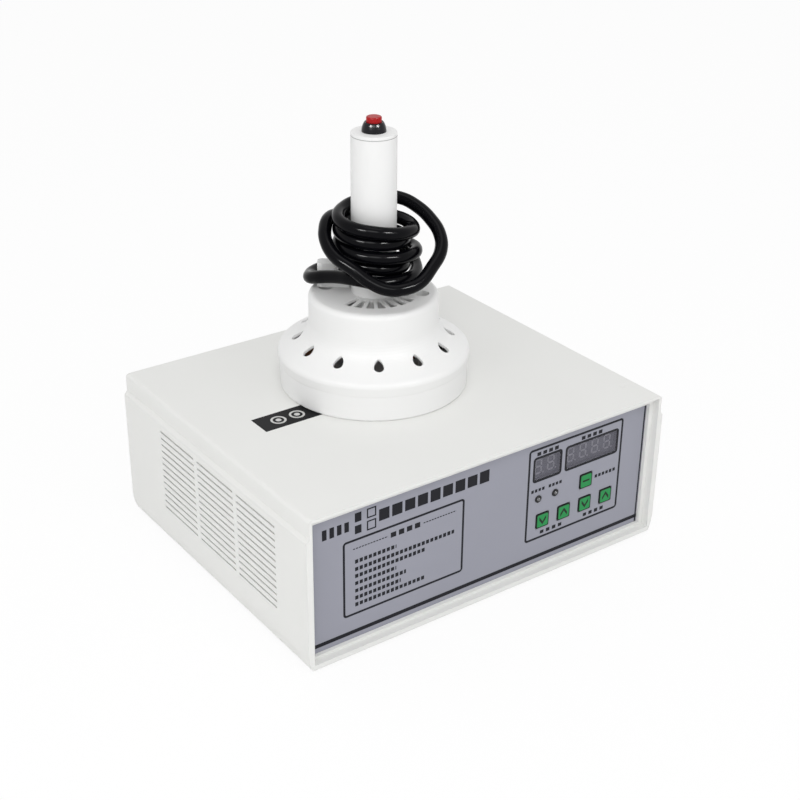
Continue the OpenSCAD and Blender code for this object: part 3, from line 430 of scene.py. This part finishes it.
label_mat, tree, skin = new_finish("label_print")
skin.inputs["Roughness"].default_value = 0.38
skin.inputs["Specular IOR Level"].default_value = 0.1
axes = in_millimetres(tree)
label_y = place_of("cover_label")[0][1]
rings = []
for ring_x in (-102.0, -86.0):
    for across, line in ((12.0, 1.7), (4.4, 0.0)):
        rings.append(drawn(tree, rectangle, axes["X"], axes["Y"], {
            "Middle X": ring_x, "Middle Z": label_y, "Width": across, "Height": across, "Corner": across / 2,
            "Line": line}))
label_ink = between(tree, drawn_together(tree, rings), (0.004, 0.004, 0.005, 1), (0.56, 0.56, 0.55, 1))
tree.links.new(label_ink, skin.inputs["Base Color"])
normal = grained(tree, scale=300.0, depth=0.00003)[1]
tree.links.new(normal, skin.inputs["Normal"])
dress(label_mat, "cover_label")

# Feet and screws. Four soft black rubber feet glued under the floor; zinc-plated steel screws, cross-head,
# bright on the flats and dull in the recess.
rubber, tree, skin = new_finish("foot_rubber")
skin.inputs["Roughness"].default_value = 0.8
tone, normal = grained(tree, scale=1400.0, depth=0.0001)
rubber_black = between(tree, tone, (0.015, 0.015, 0.016, 1), (0.034, 0.034, 0.035, 1))
tree.links.new(rubber_black, skin.inputs["Base Color"])
tree.links.new(normal, skin.inputs["Normal"])
dress(rubber, "rubber_feet")

zinc, tree, skin = new_finish("zinc_screw")
skin.inputs["Metallic"].default_value = 1.0
tone, normal = grained(tree, scale=2200.0, depth=0.00003, edge=0.0002)
zinc_grey = between(tree, tone, (0.52, 0.52, 0.54, 1), (0.70, 0.70, 0.70, 1))
tree.links.new(zinc_grey, skin.inputs["Base Color"])
tree.links.new(spread(tree, tone, 0.28, 0.46), skin.inputs["Roughness"])
tree.links.new(normal, skin.inputs["Normal"])
dress(zinc, "case_screws", "board_screws", "power_screws", "fan_screws", "head_screws", "button_nut")

# Front panel, its printed film and the rear panel. Grey moulded plates in the case slots; the film is a
# blue-grey polycarbonate sheet glued to the front plate, printed in black with frames and rows of plain bars.
# A black strip down its right edge is painted shadow of the gap to the right rib.
plate_mat, tree, skin = new_finish("panel_plastic")
skin.inputs["Roughness"].default_value = 0.5
tone, normal = grained(tree, scale=1100.0)
plate_grey = between(tree, tone, (0.60, 0.60, 0.59, 1), (0.64, 0.64, 0.63, 1))
tree.links.new(plate_grey, skin.inputs["Base Color"])
tree.links.new(normal, skin.inputs["Normal"])
dress(plate_mat, "front_panel", "rear_panel")

# a row of plain bars, each of a slightly different height
bars = bpy.data.node_groups.new("printed_bars", "ShaderNodeTree")
for name, value in (("X", 0.0), ("Z", 0.0), ("From", 0.0), ("To", 10.0), ("Middle Z", 0.0), ("Height", 3.0),
                    ("Pitch", 3.6), ("Fill", 0.74)):
    socket = bars.interface.new_socket(name, in_out="INPUT", socket_type="NodeSocketFloat")
    socket.default_value = value
bars.interface.new_socket("Mask", in_out="OUTPUT", socket_type="NodeSocketFloat")
given = bars.nodes.new("NodeGroupInput").outputs
result = bars.nodes.new("NodeGroupOutput").inputs
cell = worked_out(bars, "DIVIDE", worked_out(bars, "SUBTRACT", given["X"], given["From"]), given["Pitch"])
chance = bars.nodes.new("ShaderNodeTexWhiteNoise")
chance.noise_dimensions = "1D"
seed = worked_out(bars, "ADD", worked_out(bars, "FLOOR", cell), given["Middle Z"])
bars.links.new(seed, chance.inputs["W"])
half_height = worked_out(bars, "MULTIPLY", spread(bars, chance.outputs["Value"], 0.44, 0.5), given["Height"])
away = worked_out(bars, "ABSOLUTE", worked_out(bars, "SUBTRACT", given["Z"], given["Middle Z"]))
in_height = worked_out(bars, "LESS_THAN", away, half_height)
in_bar = worked_out(bars, "LESS_THAN", worked_out(bars, "FRACT", cell), given["Fill"])
before_end = worked_out(bars, "LESS_THAN", given["X"], given["To"])
after_start = worked_out(bars, "LESS_THAN", given["From"], given["X"])
in_row = worked_out(bars, "MULTIPLY", before_end, after_start)
bar_mask = worked_out(bars, "MULTIPLY", worked_out(bars, "MULTIPLY", in_height, in_bar), in_row)
bars.links.new(bar_mask, result["Mask"])

windows = ("time_window", "count_window")
# each key, and where its arrowhead points: up, down or, with a bar, neither
keys = (("key_minus", 0), ("key_time_down", -1), ("key_time_up", 1), ("key_count_down", -1),
        ("key_count_up", 1))
window_outline = 0.2
key_outline = 13.2
shell_middle, shell_size = place_of("base_shell")
underside = shell_middle[2] - shell_size[2] / 2
# middle x, middle z over the case underside, width, height, corner, line (0 is solid)
outlines_and_gap_shadow = [
    (0.0, 11.6, 340.0, 3.2, 0.1, 0.0),
    # painted shadow: a black strip down the film's right edge, where the gap to the right rib lies in shade
    (152.3, 60.0, 1.5, 140.0, 0.1, 0.0),
    (-75.6, 56.8, 104.9, 62.4, 3.0, 1.8),
    (83.0, 67.2, 94.2, 79.9, 3.0, 1.9),
    (-104.2, 104.6, 7.8, 7.8, 0.2, 1.1),
    (-104.2, 94.9, 7.8, 7.8, 0.2, 1.1),
]
for name in windows:
    middle, size = place_of(name)
    outlines_and_gap_shadow.append((middle[0], middle[2] - underside,
                     size[0] + window_outline, size[2] + window_outline, 3.0, 1.8))
for name, points in keys:
    middle = place_of(name)[0]
    outlines_and_gap_shadow.append((middle[0], middle[2] - underside, key_outline, key_outline, 2.0, 1.2))
# from x, to x, middle z over the case underside, height, pitch, fill
bar_rows = (
    (-144.5, -121.0, 99.6, 8.4, 6.0, 0.62),
    (-118.0, -110.5, 104.6, 7.4, 7.6, 0.72),
    (-118.0, -110.5, 94.9, 7.4, 7.6, 0.72),
    (-98.0, 0.6, 99.7, 10.0, 11.0, 0.80),
    (-119.5, -90.5, 80.0, 0.9, 2.4, 0.72),
    (-59.7, -30.7, 80.0, 0.9, 2.4, 0.72),
    (-88.0, -61.5, 80.0, 4.4, 6.9, 0.68),
    (-118.0, -83.0, 69.4, 3.3, 3.8, 0.72),
    (-118.0, -32.0, 63.2, 3.3, 3.8, 0.72),
    (-118.0, -57.6, 57.5, 3.3, 3.8, 0.72),
    (-118.0, -83.0, 51.5, 3.3, 3.8, 0.72),
    (-118.0, -74.5, 45.4, 3.3, 3.8, 0.72),
    (-118.0, -79.0, 39.5, 3.3, 3.8, 0.72),
    (-118.0, -58.0, 33.9, 3.3, 3.8, 0.72),
    (43.8, 66.0, 102.0, 3.2, 5.7, 0.66),
    (87.5, 110.0, 102.0, 3.2, 5.7, 0.66),
    (40.0, 54.0, 70.8, 2.8, 3.5, 0.70),
    (57.0, 71.0, 70.8, 2.8, 3.5, 0.70),
    (104.0, 126.0, 63.7, 2.9, 3.7, 0.70),
    (51.0, 75.0, 32.4, 3.2, 6.0, 0.60),
    (94.6, 117.5, 32.4, 3.2, 5.8, 0.60),
)
film_mat, tree, skin = new_finish("printed_film")
skin.inputs["Roughness"].default_value = 0.42
skin.inputs["Specular IOR Level"].default_value = 0.18
axes = in_millimetres(tree)
marks_and_gap_shadow = []
for x, z, width, height, rounding, line in outlines_and_gap_shadow:
    marks_and_gap_shadow.append(drawn(tree, rectangle, axes["X"], axes["Z"], {
        "Middle X": x, "Middle Z": z + underside, "Width": width, "Height": height, "Corner": rounding,
        "Line": line}))
for start, end, z, height, pitch, fill in bar_rows:
    marks_and_gap_shadow.append(drawn(tree, bars, axes["X"], axes["Z"], {
        "From": start, "To": end, "Middle Z": z + underside, "Height": height, "Pitch": pitch, "Fill": fill}))
print_and_shadow_black = (0.006, 0.006, 0.010, 1)
tone, normal = grained(tree, scale=1600.0, depth=0.00002)
film_grey = between(tree, tone, (0.292, 0.296, 0.345, 1), (0.314, 0.319, 0.370, 1))
# the film's print, together with the painted shadow strip at its right edge
film_print_and_shadow = between(tree, drawn_together(tree, marks_and_gap_shadow), film_grey, print_and_shadow_black)
tree.links.new(film_print_and_shadow, skin.inputs["Base Color"])
tree.links.new(normal, skin.inputs["Normal"])
dress(film_mat, "panel_overlay")

# Display windows and modules. Smoke-tinted acrylic windows with a black printed rim, snapped into the plate.
# Behind them are seven-segment modules with a grey face and unlit pale segments, two digits for the time and
# four for the count.
window_rim = 3.9
tint_mat, tree, skin = new_finish("tinted_window")
skin.inputs["Specular IOR Level"].default_value = 0.5
axes = in_millimetres(tree)
panes = []
for name in windows:
    middle, size = place_of(name)
    panes.append(drawn(tree, rectangle, axes["X"], axes["Z"], {
        "Middle X": middle[0], "Middle Z": middle[2], "Width": size[0] - window_rim,
        "Height": size[2] - window_rim, "Corner": 1.6}))
clear = drawn_together(tree, panes)
tint = between(tree, clear, print_and_shadow_black, (0.165, 0.163, 0.205, 1))
tree.links.new(tint, skin.inputs["Base Color"])
tree.links.new(spread(tree, clear, 1.0, 0.5), skin.inputs["Alpha"])
tone, normal = grained(tree, scale=60.0, depth=0.00002)
tree.links.new(spread(tree, tone, 0.08, 0.16), skin.inputs["Roughness"])
tree.links.new(normal, skin.inputs["Normal"])
dress(tint_mat, *windows)

digit_pitch = 12.3
# seven bars of one digit, then its point: x and z from the middle of the digit, width, height
digit_bars = (
    (0, 5.7, 4.6, 1.5), (0, 0, 4.6, 1.5), (0, -5.7, 4.6, 1.5), (-2.9, 2.85, 1.5, 4.6), (2.9, 2.85, 1.5, 4.6),
    (-2.9, -2.85, 1.5, 4.6), (2.9, -2.85, 1.5, 4.6), (4.9, -5.9, 1.5, 1.5),
)
for name, count in (("time_display", 2), ("count_display", 4)):
    digit_mat, tree, skin = new_finish(name + "_face")
    skin.inputs["Roughness"].default_value = 0.4
    axes = in_millimetres(tree)
    middle = place_of(name)[0]
    from_left = worked_out(tree, "SUBTRACT", axes["X"], middle[0] - digit_pitch * count / 2)
    in_digit = worked_out(tree, "FLOORED_MODULO", from_left, digit_pitch)
    segments = []
    for x, z, width, height in digit_bars:
        segments.append(drawn(tree, rectangle, in_digit, axes["Z"], {
            "Middle X": digit_pitch / 2 + x, "Middle Z": middle[2] + z, "Width": width, "Height": height,
            "Corner": 0.7}))
    digits = between(tree, drawn_together(tree, segments), (0.24, 0.24, 0.28, 1), (0.80, 0.79, 0.84, 1))
    tree.links.new(digits, skin.inputs["Base Color"])
    normal = grained(tree)[1]
    tree.links.new(normal, skin.inputs["Normal"])
    dress(digit_mat, name)

# Indicator lamps. Clear milky LEDs in turned black holders pressed through the plate.
# They are unlit, so the lens is a dull grey.
lamp_mat, tree, skin = new_finish("lamp_clear")
skin.inputs["Roughness"].default_value = 0.18
skin.inputs["Transmission Weight"].default_value = 0.35
tone, normal = grained(tree, scale=700.0)
lens_grey = between(tree, tone, (0.16, 0.16, 0.17, 1), (0.24, 0.24, 0.24, 1))
tree.links.new(lens_grey, skin.inputs["Base Color"])
tree.links.new(normal, skin.inputs["Normal"])
dress(lamp_mat, "power_led", "work_led")

# Keys. Five green moulded caps that stand just proud of the film, each with one dark printed mark: a bar on
# the upper key and arrowheads on the row of four. Outside a 10.4 mm face each cap is dark all round, over its
# rim and sides. They slide in the plate on tact switches.
arrow = bpy.data.node_groups.new("printed_arrowhead", "ShaderNodeTree")
for name, value in (("X", 0.0), ("Z", 0.0), ("Middle X", 0.0), ("Middle Z", 0.0), ("Up", 1.0), ("Span", 6.8),
                    ("Line", 1.45)):
    socket = arrow.interface.new_socket(name, in_out="INPUT", socket_type="NodeSocketFloat")
    socket.default_value = value
arrow.interface.new_socket("Mask", in_out="OUTPUT", socket_type="NodeSocketFloat")
given = arrow.nodes.new("NodeGroupInput").outputs
result = arrow.nodes.new("NodeGroupOutput").inputs
arrow_slope = 1.35
arrow_lift = -0.34
away = worked_out(arrow, "ABSOLUTE", worked_out(arrow, "SUBTRACT", given["X"], given["Middle X"]))
up = worked_out(arrow, "MULTIPLY", worked_out(arrow, "SUBTRACT", given["Z"], given["Middle Z"]), given["Up"])
sloped = worked_out(arrow, "MULTIPLY_ADD", away, arrow_slope, up)
off_line = worked_out(arrow, "ABSOLUTE", worked_out(arrow, "MULTIPLY_ADD", given["Span"], arrow_lift, sloped))
on_line = worked_out(arrow, "LESS_THAN", off_line, given["Line"])
in_span = worked_out(arrow, "LESS_THAN", away, worked_out(arrow, "MULTIPLY", given["Span"], 0.5))
arrow.links.new(worked_out(arrow, "MULTIPLY", on_line, in_span), result["Mask"])

key_face = 10.4
for name, points in keys:
    key_mat, tree, skin = new_finish(name + "_cap")
    skin.inputs["Roughness"].default_value = 0.42
    skin.inputs["Specular IOR Level"].default_value = 0.25
    axes = in_millimetres(tree)
    middle = place_of(name)[0]
    centre = {"Middle X": middle[0], "Middle Z": middle[2]}
    if points == 0:
        mark = drawn(tree, rectangle, axes["X"], axes["Z"], {
            **centre, "Width": 7.0, "Height": 1.6, "Corner": 0.2})
    else:
        mark = drawn(tree, arrow, axes["X"], axes["Z"], {**centre, "Up": points})
    # the cap is dark outside its 10.4 mm face: on its rim and on its sides
    face = drawn(tree, rectangle, axes["X"], axes["Z"], {
        **centre, "Width": key_face, "Height": key_face, "Corner": 1.4})
    border = worked_out(tree, "SUBTRACT", 1.0, face)
    tone, normal = grained(tree, edge=0.0003)
    key_green = between(tree, tone, (0.007, 0.215, 0.050, 1), (0.012, 0.285, 0.072, 1))
    key_marks_and_border = between(tree, drawn_together(tree, [mark, border]), key_green, (0.001, 0.012, 0.004, 1))
    tree.links.new(key_marks_and_border, skin.inputs["Base Color"])
    tree.links.new(normal, skin.inputs["Normal"])
    dress(key_mat, name)

# Black plastic pieces: lamp holders, tact switches, fan, inlet, fuse holder, rocker, gland and button bezel.
# The bezel and rocker are polished, the rest is satin moulded nylon.
for name, low, high, shine, pieces in (
    ("nylon_black", (0.011, 0.011, 0.012, 1), (0.019, 0.019, 0.020, 1), (0.42, 0.56),
     ("led_rings", "key_switches", "fan_frame", "fan_rotor", "mains_inlet", "fuse_holder", "rocker_frame",
      "cord_gland", "trigger_switch", "transistors", "block_screws")),
    ("polished_black", (0.006, 0.006, 0.008, 1), (0.010, 0.010, 0.013, 1), (0.14, 0.22),
     ("button_bezel", "rocker")),
):
    black_mat, tree, skin = new_finish(name)
    skin.inputs["Specular IOR Level"].default_value = 0.2
    tone, normal = grained(tree, scale=1300.0, edge=0.0003)
    tree.links.new(between(tree, tone, low, high), skin.inputs["Base Color"])
    tree.links.new(spread(tree, tone, shine[0], shine[1]), skin.inputs["Roughness"])
    tree.links.new(normal, skin.inputs["Normal"])
    dress(black_mat, *pieces)

# Trigger button. A red moulded cap, slightly translucent and polished, sliding in the bezel.
# A switch under it in the handle starts the sealing.
red_mat, tree, skin = new_finish("button_red")
skin.inputs["Roughness"].default_value = 0.3
skin.inputs["Specular IOR Level"].default_value = 0.15
skin.inputs["Subsurface Weight"].default_value = 0.08
skin.inputs["Subsurface Radius"].default_value = (0.002, 0.0005, 0.0005)
tone, normal = grained(tree)
button_red = between(tree, tone, (0.35, 0.006, 0.008, 1), (0.40, 0.008, 0.010, 1))
tree.links.new(button_red, skin.inputs["Base Color"])
tree.links.new(normal, skin.inputs["Normal"])
dress(red_mat, "trigger_button")

# Circuit boards. Green solder mask over copper tracks on glass laminate, screwed to posts behind the panel
# and on the floor.
board_mat, tree, skin = new_finish("board_mask")
skin.inputs["Roughness"].default_value = 0.33
where = tree.nodes.new("ShaderNodeTexCoord")
tilt = tree.nodes.new("ShaderNodeMapping")
tilt.inputs["Rotation"].default_value = (0.6, 0.0, 0.0)
tracks = tree.nodes.new("ShaderNodeTexBrick")
tracks.offset = 0.37
tracks.inputs["Color1"].default_value = (0.008, 0.105, 0.040, 1)
tracks.inputs["Color2"].default_value = (0.012, 0.125, 0.048, 1)
tracks.inputs["Mortar"].default_value = (0.030, 0.210, 0.075, 1)
tracks.inputs["Scale"].default_value = 60.0
tracks.inputs["Mortar Size"].default_value = 0.055
tracks.inputs["Brick Width"].default_value = 0.9
tracks.inputs["Row Height"].default_value = 0.23
raised = tree.nodes.new("ShaderNodeBump")
raised.inputs["Strength"].default_value = 0.3
raised.inputs["Distance"].default_value = 0.0001
normal = grained(tree)[1]
tree.links.new(where.outputs["Object"], tilt.inputs["Vector"])
tree.links.new(tilt.outputs["Vector"], tracks.inputs["Vector"])
tree.links.new(tracks.outputs["Color"], skin.inputs["Base Color"])
tree.links.new(tracks.outputs["Fac"], raised.inputs["Height"])
tree.links.new(normal, raised.inputs["Normal"])
tree.links.new(raised.outputs["Normal"], skin.inputs["Normal"])
dress(board_mat, "control_board", "power_board")

# Bare and plated metals inside and behind: extruded aluminium sink, chromed fan guard, brass pins.
# Fine lines run along each as it was drawn or extruded.
for name, low, high, shine, drawn_lines, piece in (
    ("extruded_aluminium", (0.62, 0.63, 0.65, 1), (0.75, 0.76, 0.78, 1), (0.32, 0.5), 600.0, "heat_sink"),
    ("bright_chrome", (0.74, 0.75, 0.77, 1), (0.84, 0.85, 0.86, 1), (0.10, 0.2), 90.0, "fan_guard"),
    ("nickel_brass", (0.66, 0.58, 0.40, 1), (0.78, 0.70, 0.52, 1), (0.2, 0.34), 400.0, "inlet_pins"),
):
    metal_mat, tree, skin = new_finish(name)
    skin.inputs["Metallic"].default_value = 1.0
    where = tree.nodes.new("ShaderNodeTexCoord")
    stretch = tree.nodes.new("ShaderNodeMapping")
    stretch.inputs["Scale"].default_value = (0.04, 1.0, 1.0)
    lines = tree.nodes.new("ShaderNodeTexNoise")
    lines.inputs["Scale"].default_value = drawn_lines
    lines.inputs["Detail"].default_value = 3.0
    tree.links.new(where.outputs["Object"], stretch.inputs["Vector"])
    tree.links.new(stretch.outputs["Vector"], lines.inputs["Vector"])
    tree.links.new(between(tree, lines.outputs["Fac"], low, high), skin.inputs["Base Color"])
    tree.links.new(spread(tree, lines.outputs["Fac"], shine[0], shine[1]), skin.inputs["Roughness"])
    dress(metal_mat, piece)

# Power parts on the lower board and in the head: sleeved and boxed capacitors, ferrite cores and copper
# windings. Each is a coated or wound part, glued or soldered in place.
for name, low, high, rough, ripple_scale, ripple_depth, pieces in (
    ("capacitor_sleeve", (0.010, 0.022, 0.095, 1), (0.014, 0.030, 0.120, 1), 0.3, 500.0, 0.00003,
     ("bus_capacitors",)),
    ("capacitor_box", (0.62, 0.40, 0.05, 1), (0.70, 0.47, 0.08, 1), 0.38, 700.0, 0.00004,
     ("resonant_capacitors",)),
    ("wound_copper", (0.46, 0.17, 0.07, 1), (0.60, 0.25, 0.10, 1), 0.3, 1500.0, 0.0003,
     ("choke", "sealing_coil")),
    ("ferrite_core", (0.030, 0.030, 0.033, 1), (0.055, 0.055, 0.058, 1), 0.62, 2600.0, 0.00008,
     ("ferrite_bars", "drive_transformer")),
):
    coat_mat, tree, skin = new_finish(name)
    skin.inputs["Roughness"].default_value = rough
    tone, normal = grained(tree, scale=ripple_scale, depth=ripple_depth)
    tree.links.new(between(tree, tone, low, high), skin.inputs["Base Color"])
    tree.links.new(normal, skin.inputs["Normal"])
    dress(coat_mat, *pieces)
